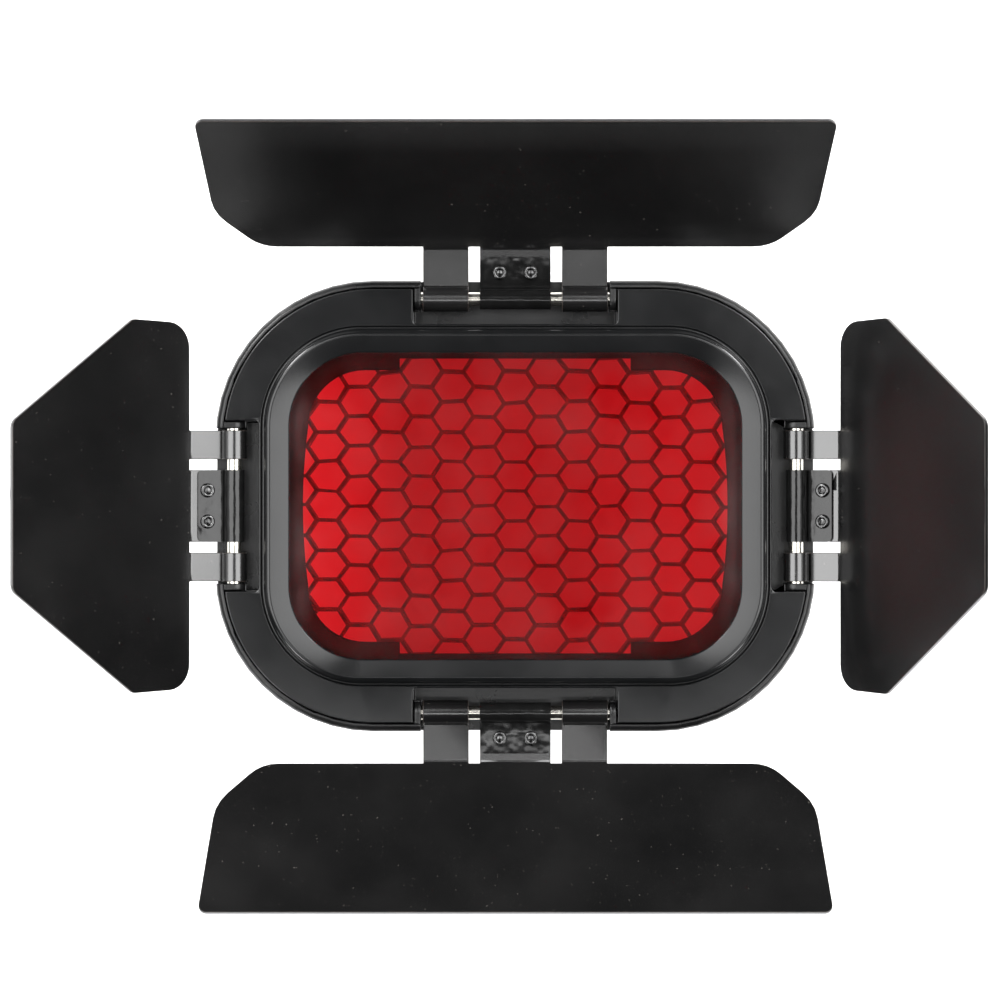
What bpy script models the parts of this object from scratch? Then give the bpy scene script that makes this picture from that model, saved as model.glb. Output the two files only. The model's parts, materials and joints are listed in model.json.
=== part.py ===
"""Barn door attachment for a compact flash head, with a colour filter and a honeycomb grid.

It lies on the rear rim of its sleeve: +Z is the way the light goes, +X points to the right-hand
flap and +Y to the top flap. The flaps are modelled half open. Lengths are in metres.
"""

import math

import bmesh
import bpy
from mathutils import Matrix, Vector

MM = 0.001

# The frame seen from the front, and the heights of its levels above the rear rim.
FRAME_WIDTH = 100.0 * MM
FRAME_HEIGHT = 75.2 * MM
FRAME_CORNER = 26.3 * MM
SIDE_BAND = 12.4 * MM
TOP_BAND = 12.1 * MM
WINDOW_CORNER = 12.2 * MM
SEAT_LIP = 2.4 * MM
SLEEVE_WALL = 2.0 * MM
SLEEVE_DEPTH = 10.0 * MM
FLANGE_DEPTH = 10.0 * MM
RIM_WIDTH = 1.3 * MM
RIM_CHAMFER = 0.5 * MM
RIM_ROUND = 1.1 * MM
FLANGE_CHAMFER = 0.8 * MM
MOUTH_CHAMFER = 0.5 * MM
COVER_THICKNESS = 1.6 * MM
COVER_SEAT = 1.5 * MM
BEZEL_INSET = 8.2 * MM
BEZEL_CORNER = 16.2 * MM
BEZEL_RISE = 1.6 * MM
BEZEL_SLOPE = 0.7 * MM
BEZEL_ROUND = 0.7 * MM
WINDOW_CHAMFER = 0.25 * MM
COVER_CHAMFER = 0.3 * MM
GROOVE_WIDTH = 0.5 * MM
GROOVE_DEPTH = 0.4 * MM
GROOVE_SLOPE = 0.1 * MM

# Gaps between pieces.
FIT_GAP = 0.2 * MM
LAYER_GAP = 0.3 * MM
CLOSE_GAP = 0.1 * MM

# The hinges: pin, rolled knuckles, the ears that hold the pin, and the pockets around them.
PIN_RADIUS = 1.2 * MM
PIN_HOLE_GAP = 0.15 * MM
PIN_GRIP = 0.75 * MM
PIN_INSET = 3.1 * MM
SHEET = 0.8 * MM
ROLL_SWEEP = math.radians(290)
ROLL_STEPS = 16
EAR_THICKNESS = 1.1 * MM
EAR_WALL = 0.55 * MM
EAR_TOP_GAP = 0.1 * MM
KNUCKLE_PLAY = 0.35 * MM
POCKET_BACK_GAP = 2.1 * MM
POCKET_FLOOR_GAP = 0.75 * MM
HINGE_PAST_STRAIGHT = 2.75 * MM
NOTCH_CORNER = 0.8 * MM

# The flaps: a blade, bent forward from the tabs that carry its knuckles.
BEND_RADIUS = 1.2 * MM
BEND_STEPS = 5
BLADE_STANDOFF = 0.1 * MM
CENTRE_TAB_START = 3.0 * MM
TOP_OVERHANG = 2.15 * MM
TOP_TAPER = 2.2 * MM
TOP_SHOULDER = 9.7 * MM
TOP_SHOULDER_LENGTH = 7.5 * MM
TOP_SHOULDER_RADIUS = 6.7 * MM
TOP_SIDE_RADIUS = 8.0 * MM
TOP_TIP_RADIUS = 1.3 * MM
SIDE_SHORTFALL = 6.7 * MM
SIDE_TAPER = 0.4 * MM
SIDE_SHOULDER_RADIUS = 4.3 * MM
SIDE_WIDEST = 11.7 * MM
SIDE_WIDEST_RADIUS = 1.5 * MM
SIDE_TIP_HALF = 13.7 * MM
SIDE_TIP_RADIUS = 2.0 * MM

# The spring clips that grip the pins, and the rivets that hold the clips to the flaps.
CLIP_SHEET = 0.4 * MM
CLIP_SHOULDER = 3.0 * MM
CLIP_CORNER = 0.8 * MM
RIVET_SHOULDER_GAP = 0.2 * MM
RIVET_SPACING = 5.2 * MM
RIVET_HEAD_RADIUS = 1.2 * MM
RIVET_HEAD_HEIGHT = 0.5 * MM
RIVET_SHANK_RADIUS = 0.65 * MM
RIVET_TAIL_RADIUS = 0.85 * MM
RIVET_TAIL_HEIGHT = 0.35 * MM
RIVET_CUP_RADIUS = 0.6 * MM
RIVET_CUP_DEPTH = 0.3 * MM
RIVET_EDGE = 0.15 * MM

# The filter and the honeycomb grid that slide into the sleeve from behind.
FILTER_THICKNESS = 0.6 * MM
GRID_SIDE_GAP = 0.5 * MM
GRID_DEPTH = 9.0 * MM
GRID_WALL = 1.4 * MM
GRID_LIP = 1.0 * MM
CORE_BAND = 0.5 * MM
CELL_ROW_PITCH = 5.0 * MM
CELL_COLUMN_PITCH = 5.26 * MM
CELL_FLAT = 3.55 * MM
CELL_WALL = 0.55 * MM
CELL_SMALLEST = 3.0 * MM * MM
GRID_SIDE_INSET = 5.2 * MM
GRID_SIDE_BULGE = 2.6 * MM
GRID_TOP_INSET = 3.3 * MM
GRID_OPENING_CORNER = 9.5 * MM
GRID_NOTCH_HALF = 19.3 * MM
GRID_NOTCH_LEFT = 1.35 * MM

# The four screws, their bosses under the cover, and the hollow corners around the bosses.
CAVITY_WALL = 2.8 * MM
CAVITY_FLOOR = 2.5 * MM
CAVITY_END_WALL = 1.0 * MM
BOSS_RADIUS = 1.9 * MM
BOSS_END_GAP = 6.75 * MM
BOSS_BORE_RADIUS = 0.95 * MM
BOSS_BORE_LEFT = 1.3 * MM
SCREW_HEAD_RADIUS = 1.9 * MM
SCREW_HEAD_HEIGHT = 1.1 * MM
SCREW_HEAD_CHAMFER = 0.3 * MM
SCREW_SHANK_RADIUS = 0.85 * MM
SCREW_TIP_GAP = 0.5 * MM
SCREW_SINK = 0.1 * MM
SCREW_SLOT = 0.5 * MM
SCREW_SLOT_DEPTH = 0.6 * MM

# The spring tongues of the sleeve that snap onto the flash head.
TONGUE_HALF = 6.0 * MM
TONGUE_SLIT = 0.8 * MM
TONGUE_LENGTH = 8.0 * MM
HOOK_RADIUS = 1.0 * MM
HOOK_BITE = 0.25 * MM
HOOK_HEIGHT = 2.5 * MM
HOOK_END_GAP = 1.0 * MM

CORNER_SEGMENTS = 12
FILLET_STEP = math.radians(12)
ROUND_SEGMENTS = 24
RIVET_SEGMENTS = 12
SCREW_SEGMENTS = 16
WELD = 0.001 * MM


def grown(shape, amount):
    """A rounded rectangle (width, height, corner radius) with its edge moved out by an amount."""
    width, height, radius = shape
    return width + 2 * amount, height + 2 * amount, radius + amount


# Radii measured from the pin's axis, and how far the clip's plate and the rivets are from it.
KNUCKLE_RADIUS = PIN_RADIUS + CLOSE_GAP + SHEET / 2
CLIP_RADIUS = PIN_RADIUS + CLOSE_GAP + CLIP_SHEET / 2
EAR_RADIUS = PIN_RADIUS + PIN_HOLE_GAP + EAR_WALL
CLIP_BEHIND_AXIS = KNUCKLE_RADIUS - SHEET / 2 - CLOSE_GAP - CLIP_SHEET / 2
RIVET_ALONG = CLIP_SHOULDER + RIVET_SHOULDER_GAP + RIVET_HEAD_RADIUS
POCKET_INSET = PIN_INSET + KNUCKLE_RADIUS + SHEET / 2 + POCKET_BACK_GAP

# Levels, from the rear rim up.
SLEEVE_TOP = SLEEVE_DEPTH
RIM_TOP = SLEEVE_DEPTH + FLANGE_DEPTH
SEAT_LEVEL = RIM_TOP - COVER_SEAT
COVER_REAR = SEAT_LEVEL + LAYER_GAP
COVER_FACE = COVER_REAR + COVER_THICKNESS
BEZEL_TOP = COVER_FACE + BEZEL_RISE
GROOVE_LEVEL = COVER_FACE - GROOVE_DEPTH
PIN_LEVEL = RIM_TOP - EAR_TOP_GAP - EAR_RADIUS
POCKET_FLOOR = PIN_LEVEL - KNUCKLE_RADIUS - SHEET / 2 - POCKET_FLOOR_GAP
BOSS_FOOT = SLEEVE_TOP + CAVITY_FLOOR + LAYER_GAP
FILTER_REAR = COVER_REAR - LAYER_GAP - FILTER_THICKNESS
GRID_FRONT = FILTER_REAR - LAYER_GAP
GRID_REAR = GRID_FRONT - GRID_DEPTH
CORE_FRONT = GRID_FRONT - GRID_LIP - LAYER_GAP
CORE_REAR = GRID_REAR + LAYER_GAP

# Each kind of hinge: the distance of its pin from the middle of the frame, its knuckles, how far
# its clip runs past the rivets and its tabs past the clip, the bend from the tabs to the blade,
# and the gap between two closed flaps.
TOP_KIND = {
    "reach": FRAME_HEIGHT / 2 - PIN_INSET,
    "outer_knuckle": 7.6 * MM,
    "knuckle_gap": 1.9 * MM,
    "centre_knuckle": 11.8 * MM,
    "past_rivets": 2.6 * MM,
    "past_clip": 1.5 * MM,
    "bend": math.radians(36),
    "meeting_gap": 1.0 * MM,
}
SIDE_KIND = {
    "reach": FRAME_WIDTH / 2 - PIN_INSET,
    "outer_knuckle": 4.8 * MM,
    "knuckle_gap": 1.8 * MM,
    "centre_knuckle": 12.0 * MM,
    "past_rivets": 1.6 * MM,
    "past_clip": 1.2 * MM,
    "bend": math.radians(30),
    "meeting_gap": 10.6 * MM,
}
for kind in (TOP_KIND, SIDE_KIND):
    kind["clip_end"] = RIVET_ALONG + kind["past_rivets"]
    kind["bend_along"] = kind["clip_end"] + kind["past_clip"]
    kind["half_knuckles"] = (
        kind["centre_knuckle"] / 2 + kind["knuckle_gap"] + kind["outer_knuckle"]
    )
    kind["half_ears"] = kind["half_knuckles"] + KNUCKLE_PLAY
    kind["half_pocket"] = kind["half_ears"] + EAR_THICKNESS
    kind["half_notch"] = kind["half_pocket"] + FIT_GAP

# Outlines seen from the front. The frame's corners leave a nearly straight edge at the side hinges.
SIDE_ROOM = FRAME_HEIGHT / 2 - SIDE_KIND["half_pocket"] + HINGE_PAST_STRAIGHT
FRAME = (FRAME_WIDTH, FRAME_HEIGHT, min(FRAME_CORNER, SIDE_ROOM))
WINDOW = (FRAME_WIDTH - 2 * SIDE_BAND, FRAME_HEIGHT - 2 * TOP_BAND, WINDOW_CORNER)
BEZEL = (FRAME_WIDTH - 2 * BEZEL_INSET, FRAME_HEIGHT - 2 * BEZEL_INSET, BEZEL_CORNER)
RECESS = grown(WINDOW, SEAT_LIP)
SLEEVE = grown(RECESS, SLEEVE_WALL)
CASSETTE = grown(RECESS, -GRID_SIDE_GAP)
CORE = grown(CASSETTE, -GRID_WALL - LAYER_GAP)

# Each hinge: its kind, its place round the frame, and how far its tabs lean forward at rest.
HINGES = {
    "top": (TOP_KIND, 0.0, math.radians(10.5)),
    "left": (SIDE_KIND, math.radians(90), math.radians(12)),
    "bottom": (TOP_KIND, math.radians(180), math.radians(-4)),
    "right": (SIDE_KIND, math.radians(-90), math.radians(25)),
}


# ---- scene ----


for startup_object in list(bpy.data.objects):
    bpy.data.objects.remove(startup_object, do_unlink=True)


def new_collection(name):
    collection = bpy.data.collections.new(name)
    bpy.context.scene.collection.children.link(collection)
    return collection


PARTS = new_collection("barn_door_attachment")
CUTTERS = new_collection("cutters")


def new_material(name, colour, roughness, metallic=0.0, transmission=0.0):
    material = bpy.data.materials.new(name)
    material.use_nodes = True
    shader = material.node_tree.nodes["Principled BSDF"]
    shader.inputs["Base Color"].default_value = (*colour, 1.0)
    shader.inputs["Roughness"].default_value = roughness
    shader.inputs["Metallic"].default_value = metallic
    shader.inputs["Transmission Weight"].default_value = transmission
    return material


HOUSING_PLASTIC = new_material("housing_plastic", (0.040, 0.040, 0.042), 0.55)
COVER_PLASTIC = new_material("cover_plastic", (0.055, 0.055, 0.058), 0.45)
PAINTED_SHEET = new_material("painted_sheet", (0.013, 0.013, 0.013), 0.5)
SPRING_STEEL = new_material("spring_steel", (0.25, 0.25, 0.26), 0.22, metallic=1.0)
PIN_STEEL = new_material("pin_steel", (0.75, 0.72, 0.66), 0.2, metallic=1.0)
RIVET_STEEL = new_material("rivet_steel", (0.45, 0.45, 0.46), 0.25, metallic=1.0)
SCREW_STEEL = new_material("screw_steel", (0.03, 0.03, 0.03), 0.35, metallic=1.0)
RED_FILTER = new_material("red_filter", (0.62, 0.01, 0.015), 0.1, transmission=0.8)
GRID_PLASTIC = new_material("grid_plastic", (0.03, 0.03, 0.03), 0.5)
GRID_FOIL = new_material("grid_foil", (0.02, 0.02, 0.02), 0.4)


def add_part(name, mesh, material, place=Matrix.Identity(4)):
    """A visible piece of the object, smooth where its faces meet at shallow angles."""
    mesh.materials.clear()
    mesh.materials.append(material)
    mesh.shade_smooth()
    mesh.set_sharp_from_angle(angle=math.radians(30))
    part = bpy.data.objects.new(name, mesh)
    part.matrix_world = place
    PARTS.objects.link(part)
    return part


def add_cutter(name, mesh, place=Matrix.Identity(4)):
    cutter = bpy.data.objects.new(name, mesh)
    cutter.matrix_world = place
    cutter.hide_render = True
    cutter.display_type = "WIRE"
    CUTTERS.objects.link(cutter)
    return cutter


def combine(target, cutter, operation, solver="EXACT"):
    """Cuts a cutter from a piece, or joins it on."""
    modifier = target.modifiers.new(cutter.name, "BOOLEAN")
    modifier.object = cutter
    modifier.operation = operation
    modifier.solver = solver


def around_z(angle):
    return Matrix.Rotation(angle, 4, "Z")


def at(x, y, z):
    return Matrix.Translation((x, y, z))


# ---- meshes ----


def mesh_from(bm, name):
    bmesh.ops.recalc_face_normals(bm, faces=bm.faces)
    mesh = bpy.data.meshes.new(name)
    bm.to_mesh(mesh)
    bm.free()
    return mesh


def box(name, low, high):
    """A box between two corners."""
    low, high = Vector(low), Vector(high)
    bm = bmesh.new()
    bmesh.ops.create_cube(bm, size=1.0)
    bmesh.ops.scale(bm, vec=high - low, verts=bm.verts)
    bmesh.ops.translate(bm, vec=(low + high) / 2, verts=bm.verts)
    return mesh_from(bm, name)


def cylinder(name, radius, low, high, segments=ROUND_SEGMENTS):
    """A cylinder on the Z axis."""
    bm = bmesh.new()
    place = at(0, 0, (low + high) / 2)
    bmesh.ops.create_cone(
        bm,
        cap_ends=True,
        segments=segments,
        radius1=radius,
        radius2=radius,
        depth=high - low,
        matrix=place,
    )
    return mesh_from(bm, name)


def turned(name, profile, segments):
    """A solid turned about Z from (radius, height) points, listed from the top down."""
    mesh = bpy.data.meshes.new(name)
    edges = [(i, i + 1) for i in range(len(profile) - 1)]
    mesh.from_pydata([(radius, 0, height) for radius, height in profile], edges, [])
    lathe = bpy.data.objects.new(name, mesh)
    CUTTERS.objects.link(lathe)
    screw = lathe.modifiers.new("turn", "SCREW")
    screw.steps = segments
    screw.render_steps = segments
    screw.use_merge_vertices = True
    screw.merge_threshold = WELD
    return baked(lathe, name)


def baked(source, name):
    """The mesh of an object with its modifiers applied. The object is removed."""
    bpy.context.view_layer.update()
    graph = bpy.context.evaluated_depsgraph_get()
    mesh = bpy.data.meshes.new_from_object(source.evaluated_get(graph))
    mesh.name = name
    bpy.data.objects.remove(source, do_unlink=True)
    return mesh


def prism(name, outlines, low, high):
    """A flat outline, with any holes given as more outlines, between two heights."""
    curve = bpy.data.curves.new(name, "CURVE")
    curve.dimensions = "2D"
    curve.fill_mode = "BOTH"
    curve.extrude = (high - low) / 2
    for outline in outlines:
        spline = curve.splines.new("POLY")
        spline.points.add(len(outline) - 1)
        for point, (x, y) in zip(spline.points, outline):
            point.co = (x, y, 0, 1)
        spline.use_cyclic_u = True
    plate = bpy.data.objects.new(name, curve)
    CUTTERS.objects.link(plate)
    mesh = baked(plate, name)
    bm = bmesh.new()
    bm.from_mesh(mesh)
    bmesh.ops.remove_doubles(bm, verts=bm.verts, dist=WELD)
    bmesh.ops.translate(bm, vec=(0, 0, (low + high) / 2), verts=bm.verts)
    return mesh_from(bm, name)


def rounded_rectangle(shape, grow=0.0):
    width, height, radius = grown(shape, grow)
    points = []
    for quarter, (side_x, side_y) in enumerate(((1, 1), (-1, 1), (-1, -1), (1, -1))):
        centre_x = side_x * (width / 2 - radius)
        centre_y = side_y * (height / 2 - radius)
        for step in range(CORNER_SEGMENTS + 1):
            angle = math.radians(90) * (quarter + step / CORNER_SEGMENTS)
            x = centre_x + radius * math.cos(angle)
            y = centre_y + radius * math.sin(angle)
            points.append((x, y))
    return points


def ring(name, sections):
    """A closed ring lofted through rounded rectangles, each (shape, growth, height)."""
    bm = bmesh.new()
    loops = []
    for shape, grow, height in sections:
        loops.append([bm.verts.new((x, y, height)) for x, y in rounded_rectangle(shape, grow)])
    for loop, following in zip(loops, loops[1:] + loops[:1]):
        for i in range(len(loop)):
            bm.faces.new((loop[i - 1], loop[i], following[i], following[i - 1]))
    return mesh_from(bm, name)


def filleted(corners):
    """A closed outline from (x, y, radius) corners, each corner rounded by its radius."""
    points = []
    count = len(corners)
    for i, (x, y, radius) in enumerate(corners):
        corner = Vector((x, y))
        before = (Vector(corners[i - 1][:2]) - corner).normalized()
        after = (Vector(corners[(i + 1) % count][:2]) - corner).normalized()
        if radius == 0:
            points.append(tuple(corner))
            continue
        turn = math.pi - before.angle(after)
        back = radius * math.tan(turn / 2)
        start = corner + before * back
        centre = corner + (before + after).normalized() * (radius / math.cos(turn / 2))
        swing = -1 if before.cross(after) > 0 else 1
        steps = max(2, round(turn / FILLET_STEP))
        for step in range(steps + 1):
            spin = Matrix.Rotation(swing * turn * step / steps, 2)
            points.append(tuple(centre + spin @ (start - centre)))
    return points


def mirrored(corners):
    """Corners on the +X side, then the same corners on the -X side in the opposite order."""
    return corners + [(-x, y, radius) for x, y, radius in reversed(corners)]


# ---- sheet metal ----


def walk(pieces, start, heading, distance):
    """The point a distance along a path of (length, turn) pieces: lines, arcs and sharp bends."""
    point = Vector(start)
    for length, turn in pieces:
        part = min(distance, length)
        if turn and length:
            radius = length / turn
            swung = heading + part / radius
            point.x += radius * (math.sin(swung) - math.sin(heading))
            point.y += radius * (math.cos(heading) - math.cos(swung))
            heading = swung
        else:
            point += part * Vector((math.cos(heading), math.sin(heading)))
            heading += turn
        distance -= part
        if distance <= 0:
            break
    return point


def bent_sheet(name, outline, radius, pieces, folds, tilt):
    """A flat sheet rolled round the pin and bent, with its tabs leaning forward.

    The outline is flat, with Y measured along the sheet from the point behind the pin's axis.
    The pieces are the path beyond the roll, and folds are the places where it needs an edge.
    """
    bm = bmesh.new()
    bm.faces.new([bm.verts.new((x, y, 0)) for x, y in outline])
    roll = radius * ROLL_SWEEP
    rolled = [-roll * step / ROLL_STEPS for step in range(ROLL_STEPS)]
    for fold in rolled + folds:
        geometry = bm.verts[:] + bm.edges[:] + bm.faces[:]
        bmesh.ops.bisect_plane(
            bm, geom=geometry, dist=WELD, plane_co=(0, fold, 0), plane_no=(0, 1, 0)
        )
    path = [(roll, ROLL_SWEEP)] + pieces
    start_angle = -math.pi / 2 - ROLL_SWEEP
    start = (radius * math.cos(start_angle), radius * math.sin(start_angle))
    for vert in bm.verts:
        place = walk(path, start, -ROLL_SWEEP, vert.co.y + roll)
        vert.co = (vert.co.x, place.x, place.y)
    bmesh.ops.rotate(
        bm, cent=(0, 0, 0), matrix=Matrix.Rotation(tilt, 3, "X"), verts=bm.verts
    )
    return mesh_from(bm, name)


def thicken(part, thickness):
    solidify = part.modifiers.new("thickness", "SOLIDIFY")
    solidify.thickness = thickness
    solidify.offset = 0
    solidify.use_even_offset = True


def top_blade(edge, tip):
    """Corners of half a top or bottom blade, from its inner edge to its tip."""
    half = FRAME_WIDTH / 2 + TOP_OVERHANG
    return [
        (half - TOP_SHOULDER, edge, TOP_SHOULDER_RADIUS),
        (half - TOP_TAPER, edge + TOP_SHOULDER_LENGTH, TOP_SIDE_RADIUS),
        (half, tip, TOP_TIP_RADIUS),
    ]


def side_blade(edge, tip):
    """Corners of half a left or right blade, from its inner edge to its tip."""
    half = FRAME_HEIGHT / 2 - SIDE_SHORTFALL
    return [
        (half - SIDE_TAPER, edge, SIDE_SHOULDER_RADIUS),
        (half, edge + SIDE_WIDEST, SIDE_WIDEST_RADIUS),
        (SIDE_TIP_HALF, tip, SIDE_TIP_RADIUS),
    ]


def flap_mesh(name, kind, tilt):
    bend = kind["bend"]
    bend_back = BEND_RADIUS * math.tan(bend / 2)
    bend_start = kind["bend_along"] - bend_back
    bend_end = bend_start + BEND_RADIUS * bend
    edge = bend_end + BLADE_STANDOFF
    # Closed flaps meet over the window: the tabs reach part of the way, and the blades the rest.
    tab_reach = kind["bend_along"] * math.cos(bend) - KNUCKLE_RADIUS * math.sin(bend)
    length = kind["reach"] - tab_reach - kind["meeting_gap"] / 2
    tip = bend_end - bend_back + length
    blade = top_blade(edge, tip) if kind is TOP_KIND else side_blade(edge, tip)
    roll_end = -KNUCKLE_RADIUS * ROLL_SWEEP
    centre = kind["centre_knuckle"] / 2
    slot = centre + kind["knuckle_gap"]
    outer = kind["half_knuckles"]
    half_outline = [
        (centre, CENTRE_TAB_START, 0),
        (centre, edge, 0),
        (slot, edge, 0),
        (slot, roll_end, 0),
        (outer, roll_end, 0),
        (outer, edge, 0),
    ] + blade
    pieces = [(bend_start, 0), (bend_end - bend_start, bend), (tip, 0)]
    steps = range(BEND_STEPS + 1)
    folds = [bend_start + (bend_end - bend_start) * step / BEND_STEPS for step in steps]
    outline = filleted(mirrored(half_outline))
    return bent_sheet(name, outline, KNUCKLE_RADIUS, pieces, folds, tilt)


def clip_mesh(name, kind, tilt):
    """A strip rolled round the pin, with a plate that lies on the front of the centre tab."""
    shoulder = Vector((CLIP_SHOULDER, -CLIP_BEHIND_AXIS))
    ramp = math.sqrt(shoulder.length_squared - CLIP_RADIUS**2)
    # The ramp leaves the roll along a tangent, so the roll stops short of the axis by its slope.
    slope = math.asin(CLIP_RADIUS / shoulder.length) - math.atan2(CLIP_BEHIND_AXIS, CLIP_SHOULDER)
    plate = kind["clip_end"] - CLIP_SHOULDER
    lead = CLIP_RADIUS * slope
    half = kind["centre_knuckle"] / 2
    roll_end = -CLIP_RADIUS * ROLL_SWEEP
    tip = lead + ramp + plate
    outline = filleted(mirrored([(half, roll_end, 0), (half, tip, CLIP_CORNER)]))
    pieces = [(lead, slope), (ramp, 0), (0, -slope), (plate, 0)]
    return bent_sheet(name, outline, CLIP_RADIUS, pieces, [lead, lead + ramp], tilt)


# ---- pieces ----


def housing():
    """The rear shell: a sleeve for the flash head and a flange that carries the hinges."""
    sections = [
        (RECESS, MOUTH_CHAMFER, 0),
        (RECESS, 0, MOUTH_CHAMFER),
        (RECESS, 0, SEAT_LEVEL),
        (FRAME, -RIM_WIDTH, SEAT_LEVEL),
        (FRAME, -RIM_WIDTH, RIM_TOP),
        (FRAME, -RIM_WIDTH + RIM_CHAMFER, RIM_TOP),
        (FRAME, -RIM_CHAMFER / 2, RIM_TOP - RIM_CHAMFER),
        (FRAME, 0, RIM_TOP - RIM_ROUND),
        (FRAME, 0, SLEEVE_TOP + FLANGE_CHAMFER),
        (FRAME, -FLANGE_CHAMFER / 2, SLEEVE_TOP),
        (SLEEVE, 0, SLEEVE_TOP),
        (SLEEVE, 0, MOUTH_CHAMFER),
        (SLEEVE, -MOUTH_CHAMFER, 0),
    ]
    part = add_part("rear_housing", ring("rear_housing", sections), HOUSING_PLASTIC)
    combine(part, corner_cavities(), "DIFFERENCE")
    inside_rim = rounded_rectangle(FRAME, -RIM_WIDTH + RIM_CHAMFER)
    limit = add_cutter("ear_limit", prism("ear_limit", [inside_rim], 0, 2 * RIM_TOP))
    for side, (kind, turn, _) in HINGES.items():
        add_ears(part, side, kind, turn, limit)
        cut_pocket(part, side, kind, turn)
    for number, (x, y) in enumerate(boss_places(), 1):
        cut_screw_hole(part, number, x, y)
    for side, turn in (("right", 0), ("left", math.radians(180))):
        add_tongue(part, side, turn)
    return part


def corner_cavities():
    """The hollow corners between the sleeve and the outer wall, solid beside the hinges."""
    sections = [
        (FRAME, -CAVITY_WALL, SLEEVE_TOP + CAVITY_FLOOR),
        (FRAME, -CAVITY_WALL, SEAT_LEVEL + LAYER_GAP),
        (SLEEVE, 0, SEAT_LEVEL + LAYER_GAP),
        (SLEEVE, 0, SLEEVE_TOP + CAVITY_FLOOR),
    ]
    cutter = add_cutter("corner_cavities", ring("corner_cavities", sections))
    top_half = TOP_KIND["half_pocket"] + CAVITY_END_WALL
    side_half = SIDE_KIND["half_pocket"] + CAVITY_END_WALL
    column = box(
        "cavity_column", (-top_half, -FRAME_HEIGHT, 0), (top_half, FRAME_HEIGHT, 2 * RIM_TOP)
    )
    row = box("cavity_row", (-FRAME_WIDTH, -side_half, 0), (FRAME_WIDTH, side_half, 2 * RIM_TOP))
    for mesh in (column, row):
        combine(cutter, add_cutter(mesh.name, mesh), "DIFFERENCE")
    return cutter


def add_ears(part, side, kind, turn, limit):
    """The ends of the rim turned inward beside a pocket, with a round cheek behind the pin.

    The profile is drawn round the pin's axis, with the front at -X and the outside at +Y.
    """
    rim = PIN_INSET - RIM_WIDTH + 2 * RIM_CHAMFER
    foot = PIN_LEVEL - SEAT_LEVEL + COVER_SEAT
    corners = [
        (foot, -EAR_RADIUS, 0),
        (foot, rim, 0),
        (-EAR_RADIUS, rim, 0),
        (-EAR_RADIUS, -EAR_RADIUS, EAR_RADIUS),
    ]
    for name, sign in (("plus", 1), ("minus", -1)):
        ends = sorted((sign * (kind["half_ears"] - EAR_THICKNESS / 2), sign * kind["half_pocket"]))
        mesh = prism(f"ear_{side}_{name}", [filleted(corners)], *ends)
        ear = add_cutter(mesh.name, mesh, pin_place(kind, turn))
        combine(ear, limit, "INTERSECT")
        combine(part, ear, "UNION")


def cut_pocket(part, side, kind, turn):
    edge = kind["reach"] + PIN_INSET
    back = edge - POCKET_INSET
    between = box(
        f"pocket_{side}",
        (-kind["half_ears"], back, POCKET_FLOOR),
        (kind["half_ears"], 2 * edge, 2 * RIM_TOP),
    )
    behind = box(
        f"pocket_back_{side}",
        (-kind["half_pocket"], back, POCKET_FLOOR),
        (kind["half_pocket"], kind["reach"] - EAR_RADIUS, 2 * RIM_TOP),
    )
    for mesh in (between, behind):
        combine(part, add_cutter(mesh.name, mesh, around_z(turn)), "DIFFERENCE")
    reach = kind["half_ears"] + PIN_GRIP + PIN_HOLE_GAP
    hole = cylinder(f"pin_hole_{side}", PIN_RADIUS + PIN_HOLE_GAP, -reach, reach)
    combine(part, add_cutter(hole.name, hole, pin_place(kind, turn)), "DIFFERENCE")


def hinge_place(kind, turn):
    """Puts a shape made around the origin, with its pin along X, onto a hinge."""
    return around_z(turn) @ at(0, kind["reach"], PIN_LEVEL)


def pin_place(kind, turn):
    """Lays a shape made along Z onto a hinge's axis."""
    return hinge_place(kind, turn) @ Matrix.Rotation(math.radians(90), 4, "Y")


def top_edge(shape, x):
    """The height of a rounded rectangle's upper edge above a point of its X axis."""
    width, height, radius = shape
    past = max(0.0, x - (width / 2 - radius))
    return height / 2 - radius + math.sqrt(radius**2 - past**2)


def boss_places():
    """Beside the top and bottom pockets, midway between the sleeve and the outer wall."""
    x = TOP_KIND["half_pocket"] + CAVITY_END_WALL + BOSS_END_GAP + BOSS_RADIUS
    y = (top_edge(grown(FRAME, -CAVITY_WALL), x) + top_edge(SLEEVE, x)) / 2
    return [(x, y), (-x, y), (-x, -y), (x, -y)]


def cut_screw_hole(part, number, x, y):
    """A counterbore and a hole for the screw, and room for the boss of the cover above them."""
    head_room = SLEEVE_TOP + SCREW_SINK + SCREW_HEAD_HEIGHT + CLOSE_GAP
    for name, radius, low, high in (
        ("seat", SCREW_HEAD_RADIUS + FIT_GAP, SLEEVE_TOP - RIM_WIDTH, head_room),
        ("hole", SCREW_SHANK_RADIUS + CLOSE_GAP, SLEEVE_TOP, SEAT_LEVEL),
        ("room", BOSS_RADIUS + FIT_GAP, BOSS_FOOT - LAYER_GAP, RIM_TOP),
    ):
        mesh = cylinder(f"screw_{name}_{number}", radius, low, high)
        combine(part, add_cutter(mesh.name, mesh, at(x, y, 0)), "DIFFERENCE")


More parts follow.
